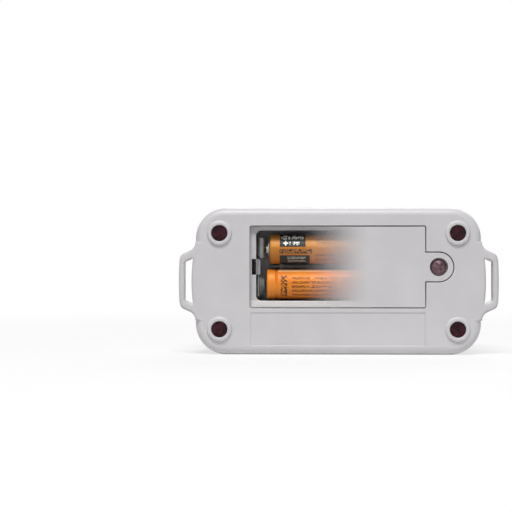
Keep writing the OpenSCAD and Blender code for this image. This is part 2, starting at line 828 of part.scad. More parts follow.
// Flat contact plate against an end wall of the bay, its face at x
module contact_plate(x, y, width) {
    translate([x, y - width / 2, cell_z - contact_h / 2]) cube([strip_t, width, contact_h]);
}

// Tail of a contact, from its plate through the bay's floor to the board
module contact_tail(x, y) {
    translate([x, y - tail_w / 2, 0]) layer(board_front_z + contact_gap, cell_z) square([strip_t, tail_w]);
}

// Side view of the folded leaf: two legs under a round bend, the second leg a little shorter
module fold_profile() {
    bend_r = fold_w / 2;
    difference() {
        union() {
            circle(bend_r);
            translate([-bend_r, bend_r - contact_h]) square([strip_t, contact_h - bend_r]);
            translate([bend_r - strip_t, bend_r - contact_h + 1]) square([strip_t, contact_h - bend_r - 1]);
        }
        circle(bend_r - strip_t);
        translate([strip_t - bend_r, -bend_r]) square([fold_w - 2 * strip_t, bend_r]);
    }
}

// Contact of the upper cell: a folded leaf with a dimple that meets the nub
module positive_contact() {
    leaf_x = plate_x + fold_w - strip_t;
    color("silver") {
        intersection() {
            translate([plate_x + fold_w / 2, contact_ys[0], cell_z + (contact_h - fold_w) / 2]) rotate([90, 0, 0])
                linear_extrude(leaf_w, center = true) fold_profile();
            translate([plate_x + fold_w / 2, contact_ys[0], 0])
                layer(bay_floor_z, ledge_z) round_rect(fold_w, leaf_w, fold_corner_r);
        }
        contact_tail(plate_x, contact_ys[0]);
        translate([leaf_x + strip_t / 2, cell_ys[0], cell_z]) rotate([0, 90, 0])
            cylinder(h = cell_left - contact_gap - leaf_x - strip_t / 2, d1 = 3.6, d2 = 2);
    }
}

// Contact of the lower cell: a plate with a conical spring that meets the flat end
module negative_contact() {
    spring_x = plate_x + strip_t - contact_gap / 2;
    color("silver") {
        contact_plate(plate_x, contact_ys[1], leaf_w);
        contact_tail(plate_x, contact_ys[1]);
        translate([spring_x, contact_ys[1], cell_z]) contact_spring(cell_left - contact_gap - spring_x);
    }
}

// Bridge at the far end: one plate across both cells, with a spring and a dimple
module bridge_contact() {
    end_x = bay_right - contact_gap - strip_t;
    spring_x = end_x + contact_gap / 2;
    color("silver") {
        contact_plate(end_x, cells_y, cell_pitch + contact_h);
        translate([spring_x, cell_ys[0], cell_z]) mirror([1, 0, 0])
            contact_spring(spring_x - cell_right - contact_gap);
        translate([end_x + strip_t / 2, cell_ys[1], cell_z]) rotate([0, -90, 0])
            cylinder(h = end_x + strip_t / 2 - cell_right - contact_gap, d1 = 5, d2 = 2.4);
    }
}

// Circuit board, cut out round the four screw posts
module circuit_board() {
    color("darkgreen") layer(board_front_z, board_back_z) difference() {
        square([board_w, board_h], center = true);
        at_corners(boss_x, boss_y) circle(notch_r);
        for (sx = [-1, 1], sy = [-1, 1]) mirror([sx > 0 ? 0 : 1, 0]) mirror([0, sy > 0 ? 0 : 1]) {
            translate([boss_x, boss_y - notch_r]) square([board_w, board_h]);
            translate([boss_x - notch_r, boss_y]) square([board_w, board_h]);
        }
        at_board_posts() circle(d = board_screw_d + 2 * screw_gap);
        for (y = contact_ys) translate([plate_x + strip_t / 2, y])
            square([strip_t + tail_gap, tail_w + tail_gap], center = true);
    }
}

// Four screws that hold the board on its posts
module board_screws() {
    color("silver") at_board_posts()
        pan_screw(board_screw_d, board_head_d, board_head_h, board_back_z, front_inner_z + post_floor);
}

// Flat chip on the back of the board, with legs along two sides or all four
module chip(x, y, size, height, legs, four_sided) {
    pitch = (size - 2 * leg_w) / (legs - 1);
    translate([x, y, board_back_z]) {
        translate([-size / 2, -size / 2, leg_rise]) cube([size, size, height - leg_rise]);
        for (a = four_sided ? [0, 90, 180, 270] : [0, 180], i = [0:legs - 1]) rotate(a)
            translate([size / 2 - leg_w, (i - (legs - 1) / 2) * pitch - leg_w / 2, 0])
                cube([leg_reach, leg_w, height / 2]);
    }
}

// Processor on the back of the board
module microcontroller() {
    color([0.13, 0.13, 0.14]) chip(processor_x, chip_y, processor_w, processor_h, 8, true);
}

// Memory for the readings
module memory_chip() {
    color([0.13, 0.13, 0.14]) chip(memory_x, chip_y, memory_w, memory_h, 4, false);
}

// Quartz crystal in its oblong can
module crystal() {
    color("silver") translate([crystal_x, chip_y, board_back_z])
        linear_extrude(crystal_size[2]) oblong(crystal_size[0], crystal_size[1]);
}

// Temperature sensor on the front of the board, behind the vents
module temperature_sensor() {
    size = sensor_size;
    color([0.16, 0.16, 0.17]) translate([vent_x, 0, 0]) {
        translate([-size[0] / 2, -size[1] / 2, board_front_z - size[2]])
            cube([size[0], size[1], size[2] - leg_rise]);
        for (s = [-1, 0, 1]) translate([s * size[0] / 3 - leg_w / 2, 0, board_front_z - size[2] / 2])
            mirror([0, s == 0 ? 1 : 0, 0]) cube([leg_w, size[1] / 2 + 2 * leg_w, size[2] / 2]);
    }
}

// Body of a push switch, bored for its plunger
module switch_body(side) {
    color([0.2, 0.2, 0.21]) translate([side * button_x, -button_drop, 0]) difference() {
        layer(switch_low_z, board_front_z) square(switch_size, center = true);
        bar(plunger_d + 2 * plunger_gap, switch_low_z - past,
            switch_low_z + plunger_depth + button_travel + seat_gap);
    }
}

// Plunger between a switch and its button
module plunger(side) {
    color("ivory") translate([side * button_x, -button_drop, 0])
        bar(plunger_d, flange_low_z, switch_low_z + plunger_depth);
}

// Push button: a chamfered cap through the front wall and a flange behind it
module push_button(side, tint) {
    face_z = front_z - button_rise;
    color(tint) translate([side * button_x, -button_drop, 0]) {
        layer(face_z + chamfer, flange_low_z) button_outline(0);
        layer(face_z, face_z + chamfer + past) button_outline(-chamfer);
        layer(flange_top_z, flange_low_z) button_outline(flange_w);
    }
}

// Light emitting diode behind the light pipe
module status_led() {
    color("lightyellow") translate([0, -button_drop, board_front_z - diode_size[2] / 2])
        cube(diode_size, center = true);
}

// Clear pipe that brings the diode's light to the front face
module light_pipe() {
    color([0.85, 0.92, 0.95]) translate([0, -button_drop, 0]) {
        bar(pipe_d, front_z, board_front_z - diode_size[2] - seat_gap);
        bar(pipe_flange_d, front_inner_z, front_inner_z + pipe_flange_t);
    }
}

// Display glass
module lcd_glass() {
    color([0.62, 0.67, 0.6]) translate([0, window_y, 0]) layer(glass_front_z, glass_back_z)
        square([glass_w, glass_h], center = true);
}

// Frame that holds the display glass over the board
module lcd_frame() {
    shelf_w = glass_w - 2 * frame_shelf;
    shelf_h = glass_h - 2 * frame_shelf;
    color("white") translate([0, window_y, 0]) difference() {
        layer(glass_front_z, board_front_z) square([frame_w, frame_h], center = true);
        layer(glass_front_z - past, glass_back_z)
            square([glass_w + 2 * glass_gap, glass_h + 2 * glass_gap], center = true);
        layer(glass_front_z - past, board_front_z + past) square([shelf_w, shelf_h], center = true);
    }
}

// Two soft strips that join the display glass to the board
module zebra_strips() {
    strip_y = glass_h / 2 - frame_shelf - strip_w / 2 - glass_gap;
    color([0.3, 0.3, 0.32]) for (s = [-1, 1]) translate([0, window_y + s * strip_y, 0])
        layer(glass_back_z, board_front_z) square([strip_l, strip_w], center = true);
}

// Foam gasket between the display glass and the front wall
module display_gasket() {
    color([0.15, 0.15, 0.15]) translate([0, window_y, 0]) layer(front_inner_z, glass_front_z) difference() {
        square([frame_w, frame_h], center = true);
        square([glass_w - 2 * gasket_w, glass_h - 2 * gasket_w], center = true);
    }
}

// Clear window, level with the front face
module display_window() {
    color([0.8, 0.86, 0.88]) translate([0, window_y, 0]) layer(front_z, front_z + window_t)
        round_rect(window_w, window_h, window_r);
}

stand() rear_case();
stand() front_case();
stand() battery_cover();
stand() cover_screw();
stand() screw_clip();
stand() threaded_insert();
stand() magnet(-1, 1);  // magnet_upper_left
stand() magnet(1, 1);  // magnet_upper_right
stand() magnet(-1, -1);  // magnet_lower_left
stand() magnet(1, -1);  // magnet_lower_right
stand() case_screws();
stand() cell_can(cell_ys[0], -1);  // upper_cell
stand() cell_sleeve(cell_ys[0], -1);  // upper_cell_sleeve
stand() cell_can(cell_ys[1], 1);  // lower_cell
stand() cell_sleeve(cell_ys[1], 1);  // lower_cell_sleeve
stand() positive_contact();
stand() negative_contact();
stand() bridge_contact();
stand() circuit_board();
stand() board_screws();
stand() microcontroller();
stand() memory_chip();
stand() crystal();
stand() temperature_sensor();
stand() switch_body(-1);  // start_switch
stand() switch_body(1);  // mark_switch
stand() plunger(-1);  // start_plunger
stand() plunger(1);  // mark_plunger
stand() push_button(-1, "steelblue");  // start_button
stand() push_button(1, "silver");  // mark_button
stand() status_led();
stand() light_pipe();
stand() lcd_glass();
stand() lcd_frame();
stand() zebra_strips();
stand() display_gasket();
stand() display_window();
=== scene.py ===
# %% [markdown]
# # Temperature data logger
#
# A small battery logger in a pale grey case, seen from behind: strap lugs at both ends, a magnet in a
# ring at each corner, and a battery cover held by one captive screw. The solids come from the packed
# model, so each step here is about what the eye sees: how each surface is finished, and the few thin
# parts that are too fine for the solids. Every length is in metres.

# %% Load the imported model
import json
import math
import bmesh
import bpy
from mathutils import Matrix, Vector


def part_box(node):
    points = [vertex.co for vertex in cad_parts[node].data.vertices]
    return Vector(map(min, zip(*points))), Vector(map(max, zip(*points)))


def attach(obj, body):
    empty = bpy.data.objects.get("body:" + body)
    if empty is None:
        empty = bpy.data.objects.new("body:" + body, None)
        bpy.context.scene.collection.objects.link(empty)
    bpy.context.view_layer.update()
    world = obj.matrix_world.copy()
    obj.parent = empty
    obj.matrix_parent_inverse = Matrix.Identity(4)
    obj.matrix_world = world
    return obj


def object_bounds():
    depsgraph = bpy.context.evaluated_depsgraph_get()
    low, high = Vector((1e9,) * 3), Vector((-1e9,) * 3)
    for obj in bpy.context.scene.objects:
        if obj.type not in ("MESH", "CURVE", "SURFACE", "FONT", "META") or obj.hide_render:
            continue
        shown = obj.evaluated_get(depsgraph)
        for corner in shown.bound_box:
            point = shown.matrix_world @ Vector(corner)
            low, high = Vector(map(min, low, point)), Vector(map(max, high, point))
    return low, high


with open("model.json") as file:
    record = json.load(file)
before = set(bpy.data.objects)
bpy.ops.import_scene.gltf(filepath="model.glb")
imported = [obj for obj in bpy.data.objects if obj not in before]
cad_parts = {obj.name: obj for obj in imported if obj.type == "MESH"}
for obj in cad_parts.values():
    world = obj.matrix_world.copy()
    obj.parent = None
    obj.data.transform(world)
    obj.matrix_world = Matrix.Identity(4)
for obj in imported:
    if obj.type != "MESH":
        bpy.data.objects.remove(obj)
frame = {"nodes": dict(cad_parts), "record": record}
nodes = frame["nodes"]
cad_low, cad_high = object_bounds()
mm = 0.001
print("solids loaded:", len(nodes), "box:", [round(v / mm, 1) for v in cad_high - cad_low], "mm")

# %% [markdown]
# The camera, the print on the cells, the fade of the cover and the painted shade and light in the battery
# bay all need a few measures of the object. They are read from the solids first, so that they follow when
# the solids change. Only two are typed: how far from the middle the strap lugs begin, and how wide the
# ledge below the battery bay is, on which light is painted.

# %% Measures read from the solids
centre = (cad_low + cad_high) / 2
cover_low, cover_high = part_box("battery_cover")
back_y = cover_low.y
joints = {joint["name"]: joint for joint in frame["record"]["behaviour"]["joints"]}
pivot = Vector(joints["cover_tilt"]["pos_m"])
cover_half_t = pivot.y - back_y
cover_left = pivot.x - cover_half_t
lug_start = 49 * mm
lit_ledge = 2.3 * mm
print("back face at", round(back_y / mm, 2), "mm, cover's left edge at", round(cover_left / mm, 2), "mm")

# %% [markdown]
# ## Shader maths written as Python
#
# A finish is a network of small nodes. Wired by hand it is long and hard to read, so one class wraps a
# socket and lets Python's own operators add the Math nodes: `1 - mask * 0.3` becomes two nodes. Every
# other node comes from one method, which takes its type, its settings and its inputs.

# %% A socket that takes part in expressions
class Wire:
    """The output of a node, used like a number."""

    def __init__(self, finish, socket):
        self.finish = finish
        self.socket = socket

    def maths(self, operation, *operands):
        return self.finish.node("ShaderNodeMath", {"operation": operation}, dict(enumerate(operands)))

    def __add__(self, other):
        return self.maths("ADD", self, other)

    def __sub__(self, other):
        return self.maths("SUBTRACT", self, other)

    def __rsub__(self, other):
        return self.maths("SUBTRACT", other, self)

    def __mul__(self, other):
        return self.maths("MULTIPLY", self, other)

    def __truediv__(self, other):
        return self.maths("DIVIDE", self, other)

    def __abs__(self):
        return self.maths("ABSOLUTE", self)

    def __lt__(self, other):
        return self.maths("LESS_THAN", self, other)

    def __gt__(self, other):
        return self.maths("GREATER_THAN", self, other)

    __radd__ = __add__
    __rmul__ = __mul__

    def floor(self):
        return self.maths("FLOOR", self)

    def both(self, other):
        return self.maths("MINIMUM", self, other)

    def either(self, other):
        return self.maths("MAXIMUM", self, other)

    def zigzag(self):
        """Up from 0 to 1 and down again, over and over."""
        return self.maths("PINGPONG", self, 1.0)

    def within(self, low, high):
        """1 between the two values and 0 elsewhere."""
        return (self > low).both(self < high)

    def ease(self, start, end):
        """0 before start and 1 after end, with soft shoulders."""
        settings = {"interpolation_type": "SMOOTHSTEP"}
        return self.finish.node("ShaderNodeMapRange", settings, {0: self, 1: start, 2: end})


# %% A finish, which holds a material and makes its nodes
class Finish:
    """One material and the nodes that make it."""

    def __init__(self, name):
        self.material = bpy.data.materials.new(name)
        self.material.use_nodes = True
        self.tree = self.material.node_tree
        self.shader = self.tree.nodes["Principled BSDF"]

    def put(self, socket, value):
        if isinstance(value, Wire):
            self.tree.links.new(value.socket, socket)
        elif isinstance(value, tuple) and socket.type == "RGBA":
            socket.default_value = (*value[:3], 1)
        else:
            socket.default_value = value

    def node(self, kind, settings={}, inputs={}, output=0):
        made = self.tree.nodes.new(kind)
        for name, value in settings.items():
            setattr(made, name, value)
        for name, value in inputs.items():
            self.put(made.inputs[name], value)
        return Wire(self, made.outputs[output])

    def place(self):
        """Object coordinates, which on these pieces are the model's own metres."""
        return self.node("ShaderNodeTexCoord", output="Object")

    def axes(self):
        place = self.place()
        return [self.node("ShaderNodeSeparateXYZ", {}, {0: place}, axis) for axis in "XYZ"]

    def noise(self, size, detail=3, vector=None, stretch=(1, 1, 1)):
        """Soft cloudy values round 0.5, with spots of about the given size."""
        vector = vector or self.place()
        vector = self.node("ShaderNodeMapping", {}, {"Vector": vector, "Scale": stretch})
        return self.node("ShaderNodeTexNoise", {}, {"Vector": vector, "Scale": 1 / size, "Detail": detail})

    def mix(self, mask, first, second):
        """The first colour where mask is 0 and the second where it is 1."""
        return self.node("ShaderNodeMix", {"data_type": "RGBA"}, {0: mask, 6: first, 7: second}, 2)

    def bump(self, height, depth, normal=None):
        inputs = {"Height": height, "Distance": depth, "Strength": 1.0}
        if normal:
            inputs["Normal"] = normal
        return self.node("ShaderNodeBump", {}, inputs)

    def surface(self, **values):
        """Sets the shader's sockets: base_color=... fills Base Color, and so on."""
        for name, value in values.items():
            words = name.replace("_", " ").title().replace("Ior", "IOR")
            self.put(self.shader.inputs[words], value)
        return self.material


def ink(red, green, blue):
    """A colour as it reads on a screen, 0 to 255, in the linear values that shaders take."""
    channels = [v / 255 for v in (red, green, blue)]
    return tuple(v / 12.92 if v <= 0.04045 else ((v + 0.055) / 1.055) ** 2.4 for v in channels)


def dress(material, *names):
    """Gives a node's material slots the finish."""
    for name in names:
        for slot in nodes[name].material_slots:
            slot.material = material
    print(material.name, "on", ", ".join(names))


# %% [markdown]
# ## Moulded plastic
#
# The case and the cover are injection moulded. The steel mould is spark eroded, which leaves an even
# grain of fine pits about a third of a millimetre apart, and the plastic flows in with slight clouds of
# tone. Corners that fingers rub turn a little smoother. A Bevel node softens the hard edges in the
# shading, and the angle between that soft normal and the true one tells where the edges are. The strap
# lugs have rounder edges than the rest of the case, so the softening is wider there. Down in the battery
# bay, shade is painted into the colour: light plastic throws much light about there, and the bay's ground
# would come out too pale, so the tone darkens with depth. On the ledge below the bay, light is painted: the
# lamp falls on it, so it is given a paler grey than the rest.

# %% The grain of a spark eroded mould, and edges that are rubbed smooth
def soft_edges(finish, radius):
    """A rounded normal, and a mask that is 1 along the edges, where it leans away from the true one."""
    soft = finish.node("ShaderNodeBevel", {"samples": 8}, {"Radius": radius})
    true = finish.node("ShaderNodeNewGeometry", output="Normal")
    angle = finish.node("ShaderNodeVectorMath", {"operation": "DOT_PRODUCT"}, {0: soft, 1: true}, "Value")
    leaning, level = 0.75, 0.995
    return soft, 1 - angle.ease(leaning, level)


def moulded(name, colour, grain=0.35 * mm, pit=0.012 * mm, roughness=0.42, edge=0.2 * mm, lug_edge=None):
    finish = Finish(name)
    if lug_edge:
        x = finish.axes()[0]
        run_in = 0.8 * mm
        on_lug = abs(x - centre.x).ease(lug_start - run_in, lug_start + run_in)
        edge = edge + (lug_edge - edge) * on_lug
    soft, rubbed = soft_edges(finish, edge)
    finish.soft = soft
    clouds = finish.noise(14 * mm, 4)
    pits = finish.noise(grain, 2)
    pale = tuple(min(1, v * 1.05) for v in colour)
    deep = tuple(v * 0.95 for v in colour)
    tone = finish.mix(clouds.ease(0.3, 0.7), deep, colour)
    tone = finish.mix(rubbed * 0.5, tone, pale)
    finish.tone = tone
    shine = roughness + (clouds - 0.5) * 0.1 + (pits - 0.5) * 0.12 - rubbed * 0.1
    finish.surface(base_color=tone, roughness=shine, normal=finish.bump(pits, pit, soft), ior=1.5)
    return finish


# %% The case, with painted shade down in the battery bay and painted light on the ledge below it
case_grey = ink(206, 204, 206)
case_finish = moulded("case_plastic_grained", case_grey, edge=0.35 * mm, lug_edge=1.8 * mm)
x, y, z = case_finish.axes()
rear_half_end = centre.y + 3 * mm
in_bay = x.within(cover_left - mm, cover_high.x + mm).both(y < rear_half_end)
in_bay = in_bay.both(z.within(cover_low.z + lit_ledge, cover_high.z + mm))
# Painted shade: inside the bay the grey is darkened with depth below the back face.
shade = tuple(v * 0.3 for v in case_grey)
full_depth, most_shade = 4 * mm, 0.55
painted_bay_shade = in_bay * (y - back_y).ease(0, full_depth) * most_shade
tone = case_finish.mix(painted_bay_shade, case_finish.tone, shade)
# Painted light: the ledge below the bay, where the lamp falls, is given a paler grey.
painted_ledge_light = x.within(cover_left, cover_high.x).both(z.within(cover_low.z - mm, cover_low.z + lit_ledge))
painted_ledge_light = painted_ledge_light.both(y.within(back_y + mm, back_y + 3 * mm))
case_finish.surface(base_color=case_finish.mix(painted_ledge_light, tone, ink(221, 218, 217)))
dress(case_finish.material, "rear_case", "front_case")

# %% [markdown]
# ## The see-through cover
#
# The picture shows the cover as if it faded away towards its left end, so that the cells can be seen in
# place. The same plastic finish is used, and its alpha rises smoothly from 0 to 1 along the outer face.
# The inner faces, rib and hook are left out as far as the fade reaches, because a second layer would
# veil the cells twice. The thin side walls stay, so that the dark joint line runs all the way round.
# The fading face lets all light through to the cells, because the fade is drawn and the cells under it are
# as bright as beside it. A grain much finer than a pixel blurs where the denoiser stops looking through.

# %% The cover's plastic, fading along its length
fade_start, fade_end = -13.4 * mm, 12 * mm
cover_finish = moulded("cover_plastic_grained", case_grey, edge=0.15 * mm)
x, y, z = cover_finish.axes()
cover_mid_z = (cover_low.z + cover_high.z) / 2
cover_half_h = (cover_high.z - cover_low.z) / 2
skin = 0.05 * mm
outside = y < back_y + skin
walls = (abs(z - cover_mid_z) > cover_half_h - skin).either(x < cover_left + skin)
walls = walls.both(y < pivot.y + cover_half_t + skin)
fade = x.ease(fade_start, fade_end)
grain_size = 0.06 * mm
fade = fade + fade * (1 - fade) * 4 * (cover_finish.noise(grain_size, 0) - 0.5)
shadow = cover_finish.node("ShaderNodeLightPath", output="Is Shadow Ray")
faded = outside * fade * (1 - shadow)
cover_finish.surface(alpha=faded.either(x > fade_end).either(walls))
dress(cover_finish.material, "battery_cover")

# %% [markdown]
# ## Metals
#
# Five kinds of metal are used: the dark passivated cover screw, the dark lacquered magnets, the bright
# plated cans of the cells and the other screws, the duller rolled contacts, and the brass insert. Metal is
# mostly reflection, so its look is in its roughness: fine streaks from rolling, and blotches where the
# plating is thinner.

# %% Plated, dark and brass metals
def metal(name, colour, roughness, streak=(1, 1, 1), size=0.6 * mm, metallic=1.0, contrast=0.3):
    finish = Finish(name)
    soft, worn = soft_edges(finish, 0.08 * mm)
    blotch = finish.noise(size, 5, stretch=streak)
    speck = finish.noise(size / 4, 2)
    dull = tuple(v * (1 - contrast) for v in colour)
    bright = tuple(min(1, v * (1 + contrast) + 0.02) for v in colour)
    tone = finish.mix(blotch.ease(0.35, 0.65), dull, colour)
    tone = finish.mix((speck.ease(0.5, 0.75) * 0.6).either(worn * 0.6), tone, bright)
    shine = roughness + (blotch - 0.5) * 0.25 + (speck - 0.5) * 0.2
    dents = finish.bump(speck, 0.006 * mm, soft)
    finish.surface(base_color=tone, roughness=shine, metallic=metallic, normal=dents)
    return finish


screw_finish = metal("screw_dark_steel", ink(116, 92, 98), 0.3, size=0.9 * mm, metallic=0.85, contrast=0.4)
magnet_finish = metal("magnet_dark_lacquer", ink(58, 24, 33), 0.42, size=1.6 * mm, metallic=0.4,
                      contrast=0.7)
magnet_finish.surface(specular_ior_level=0.2)
plated_finish = metal("plated_steel_bright", ink(176, 172, 164), 0.36)
contact_finish = metal("contact_plate_rolled", ink(134, 135, 132), 0.5, streak=(1, 1, 6), size=1.5 * mm,
                       metallic=0.6)
brass_finish = metal("brass_turned", ink(206, 170, 96), 0.3)
dress(screw_finish.material, "cover_screw", "screw_clip")
dress(magnet_finish.material, *[name for name in nodes if name.startswith("magnet")])
dress(plated_finish.material, "case_screws", "board_screws", "crystal", "upper_cell", "lower_cell")
dress(contact_finish.material, "positive_contact", "negative_contact", "bridge_contact")
dress(brass_finish.material, "threaded_insert")

# %% [markdown]
# ## The cells' sleeves
#
# Each cell wears a thin printed sleeve of metallic orange film. A print follows the surface, so the
# finish first turns the place on the sleeve into two lengths: one along the cell from its left end, and
# one round it, from the line that faces out. Panels, marks and rows of small print are then boxes in those
# two. The print says nothing: two dark panels with a plus, a bar for the minus, and rows of strokes. Along
# the top a pale band is painted highlight, edged where the film's end laps over. The side that faces down
# has painted shade, and the upper cell's film is painted darker than the lower one's, as painted shade
# from the top wall of the bay.

# %% Lengths on a sleeve, and the masks that print is made of
def unrolled(finish, low, high):
    """The length along the cell from its left end, and the length round it from its outermost line."""
    x, y, z = finish.axes()
    middle = (low + high) / 2
    radius = (high.z - low.z) / 2
    turn = finish.node("ShaderNodeMath", {"operation": "ARCTAN2"}, {0: z - middle.z, 1: middle.y - y})
    return x - low.x, turn * radius


def strokes(finish, along, around, start, end, rows, tall, glyph=0.34 * mm):
    """Rows of small strokes that look like print from afar, with gaps between words."""
    word = glyph * 7
    inked, written = 0.49, 0.36
    lines = 0
    for row in rows:
        lines = (abs(around - row) < tall / 2) + lines
    flow = finish.node("ShaderNodeCombineXYZ", {}, {0: along / glyph, 1: around / (tall * 0.45)})
    marks = finish.node("ShaderNodeTexNoise", {}, {"Vector": flow, "Scale": 1.0, "Detail": 0.0})
    line = (around / tall).floor()
    pace = finish.node("ShaderNodeCombineXYZ", {}, {0: along / word, 1: line * 5.3})
    words = finish.node("ShaderNodeTexNoise", {}, {"Vector": pace, "Scale": 1.0, "Detail": 1.0})
    return lines.both(marks > inked).both(words > written).both(along.within(start, end))


def bar(along, around, at, level, length, width):
    """A short bar, length along the cell and width round it."""
    return (abs(along - at) < length / 2).both(abs(around - level) < width / 2)


def film(name, low, high, bright, deep):
    """The bare metallic film, its colour with painted shade on the side that faces down, and the two
    lengths on it.
    """
    finish = Finish(name)
    blotch = finish.noise(5 * mm, 4, stretch=(0.4, 1, 1))
    fine = finish.noise(0.25 * mm, 2)
    finish.surface(metallic=0.15, roughness=0.5 + (blotch - 0.5) * 0.15, specular_ior_level=0.25)
    finish.surface(normal=finish.bump(fine, 0.004 * mm), coat_weight=0.06, coat_roughness=0.3)
    along, around = unrolled(finish, low, high)
    tone = finish.mix(blotch.ease(0.35, 0.65), bright, deep)
    # Painted shade: the film's colour darkens towards the side that faces down, away from the lamp.
    painted_underside_shade = (0 - around).ease(0.5 * mm, 6 * mm)
    return finish, finish.mix(painted_underside_shade * 0.4, tone, tuple(v * 0.35 for v in deep)), along, around


# %% The upper sleeve, with dark panels, and the lower one, with a column and rows of print
soot, milk = ink(44, 48, 48), ink(236, 234, 226)
print_brown = ink(70, 44, 24)

upper_low, upper_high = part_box("upper_cell_sleeve")
# Painted shade: the upper cell's film has darker, more golden oranges than the lower one's, where the bay's
# top wall shades it.
bright, deep = ink(196, 127, 52), ink(183, 114, 44)
finish, tone, along, around = film("sleeve_print_upper", upper_low, upper_high, bright, deep)
# Painted highlight: a paler band over the upper part of the film, edged at the lap of its end.
painted_lap_highlight = (around - 0.84 * mm).ease(0, 0.12 * mm)
tone = finish.mix(painted_lap_highlight * 0.6, tone, ink(204, 142, 68))
panels = along.within(3.5 * mm, 12.6 * mm).both(around > 0.84 * mm).either(
    along.within(3.5 * mm, 14.1 * mm).both(around < -2.2 * mm))
tone = finish.mix(panels, tone, soot)
tone = finish.mix(strokes(finish, along, around, 3.4 * mm, 15 * mm, [-0.75 * mm], 1.7 * mm), tone, soot)
rows = [3.6 * mm, 2.2 * mm, -2.2 * mm, -4.0 * mm]
tone = finish.mix(strokes(finish, along, around, 16 * mm, 40 * mm, rows, 1.0 * mm) * 0.7, tone, print_brown)
plus = bar(along, around, 5.6 * mm, 2.2 * mm, 1.8 * mm, 0.5 * mm).either(
    bar(along, around, 5.6 * mm, 2.2 * mm, 0.5 * mm, 1.8 * mm))
large_print = strokes(finish, along, around, 4.0 * mm, 12.0 * mm, [4.9 * mm], 2.3 * mm, glyph=0.6 * mm)
small_print = strokes(finish, along, around, 7.0 * mm, 10.4 * mm, [2.2 * mm], 1.5 * mm)
faint_print = strokes(finish, along, around, 6.2 * mm, 12.6 * mm, [-3.3 * mm, -4.9 * mm], 1.1 * mm)
tone = finish.mix(plus.either(large_print).either(small_print), tone, milk)
tone = finish.mix(faint_print * 0.45, tone, milk)
finish.surface(base_color=tone)
dress(finish.material, "upper_cell_sleeve")

lower_low, lower_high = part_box("lower_cell_sleeve")
bright, deep = ink(233, 141, 46), ink(217, 124, 36)
finish, tone, along, around = film("sleeve_print_lower", lower_low, lower_high, bright, deep)
# Painted highlight: a pale band near the top of the cell, where the film's end laps over.
painted_lap_highlight = around.within(5.2 * mm, 7.4 * mm).both(along > 3.9 * mm)
tone = finish.mix(painted_lap_highlight * 0.55, tone, ink(255, 214, 164))
column = strokes(finish, around, along, -4.8 * mm, 3.4 * mm, [6.0 * mm], 2.3 * mm, glyph=0.5 * mm)
rows = [2.3 * mm, 0.7 * mm, -0.8 * mm, -2.3 * mm, -4.1 * mm]
text = strokes(finish, along, around, 8.8 * mm, 40 * mm, rows, 0.95 * mm)
minus = bar(along, around, 41.5 * mm, 0, 0.5 * mm, 2.4 * mm)
tone = finish.mix(column.either(text * 0.95).either(minus), tone, print_brown)
finish.surface(base_color=tone)
dress(finish.material, "lower_cell_sleeve")

# %% [markdown]
# ## Parts inside and on the front
#
# Some of the display stack and the board shows through the window and the vents, and all of it shows when
# the case is opened, so it is finished too: green solder mask over a woven board, matt black chip bodies,
# grey rubber keys, a milky light pipe, black foam and the grey-green of a reflective display.

# %% Board, chips, rubber and foam
board_finish = moulded("board_green_mask", ink(30, 92, 58), grain=0.5 * mm, pit=0.01 * mm, roughness=0.3)
x, y, z = board_finish.axes()
thread_pitch = 0.5 * mm
weave = (x / thread_pitch).zigzag() + (z / thread_pitch).zigzag()
board_finish.surface(normal=board_finish.bump(weave, 0.01 * mm, board_finish.soft))
chip_finish = moulded("chip_epoxy", ink(40, 40, 42), grain=0.12 * mm, roughness=0.55, edge=0.05 * mm)
key_finish = moulded("key_grey_rubber", ink(128, 131, 136), grain=0.3 * mm, roughness=0.6, edge=0.3 * mm)
white_finish = moulded("frame_white_plastic", ink(226, 226, 222), roughness=0.5, edge=0.1 * mm)
foam_finish = moulded("foam_black", ink(34, 34, 36), grain=0.5 * mm, pit=0.08 * mm, roughness=0.9)
strip_finish = moulded("strip_rubber", ink(88, 88, 92), grain=0.2 * mm, roughness=0.7)
dress(board_finish.material, "circuit_board")
dress(chip_finish.material, "microcontroller", "memory_chip", "temperature_sensor")
dress(chip_finish.material, "start_switch", "mark_switch")
dress(key_finish.material, "start_button", "mark_button")
dress(white_finish.material, "lcd_frame", "start_plunger", "mark_plunger", "status_led")
dress(foam_finish.material, "display_gasket")
dress(strip_finish.material, "zebra_strips")

# %% A reflective display, a clear window and a milky light pipe
lcd_finish = moulded("display_reflective", ink(150, 160, 144), grain=0.1 * mm, pit=0.002 * mm,
                     roughness=0.25)
dress(lcd_finish.material, "lcd_glass")

window_finish = Finish("window_clear")
smear = window_finish.noise(9 * mm, 3)
window_finish.surface(base_color=(0.97, 0.98, 0.98), roughness=0.02 + smear * 0.04)
window_finish.surface(transmission_weight=1.0, ior=1.49)
dress(window_finish.material, "display_window")

pipe_finish = Finish("light_pipe_milky")
haze = pipe_finish.noise(0.6 * mm, 3)
pipe_finish.surface(base_color=(0.9, 0.92, 0.92), roughness=0.2 + haze * 0.2)
pipe_finish.surface(transmission_weight=0.6, ior=1.49)
dress(pipe_finish.material, "light_pipe")

# %% [markdown]
# ## Fine parts that only the picture needs
#
# Three kinds of part are too fine for the solids: the thread on the cover screw's shank, the dark mask
# printed behind the window's edge, and the segments of the display. They are small meshes made with bmesh,
# and each rides on the body that carries it.

# %% Turning a bmesh into a piece that rides on a body
def piece(name, body, sheet, material):
    """Ends the sheet's making and hangs the new object on its body."""
    bmesh.ops.recalc_face_normals(sheet, faces=sheet.faces)
    mesh = bpy.data.meshes.new(name)
    sheet.to_mesh(mesh)
    sheet.free()
    mesh.materials.append(material)
    made = bpy.data.objects.new(name, mesh)
    bpy.context.scene.collection.objects.link(made)
    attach(made, body)
    print(name, "rides on", body, "with", len(mesh.polygons), "faces")


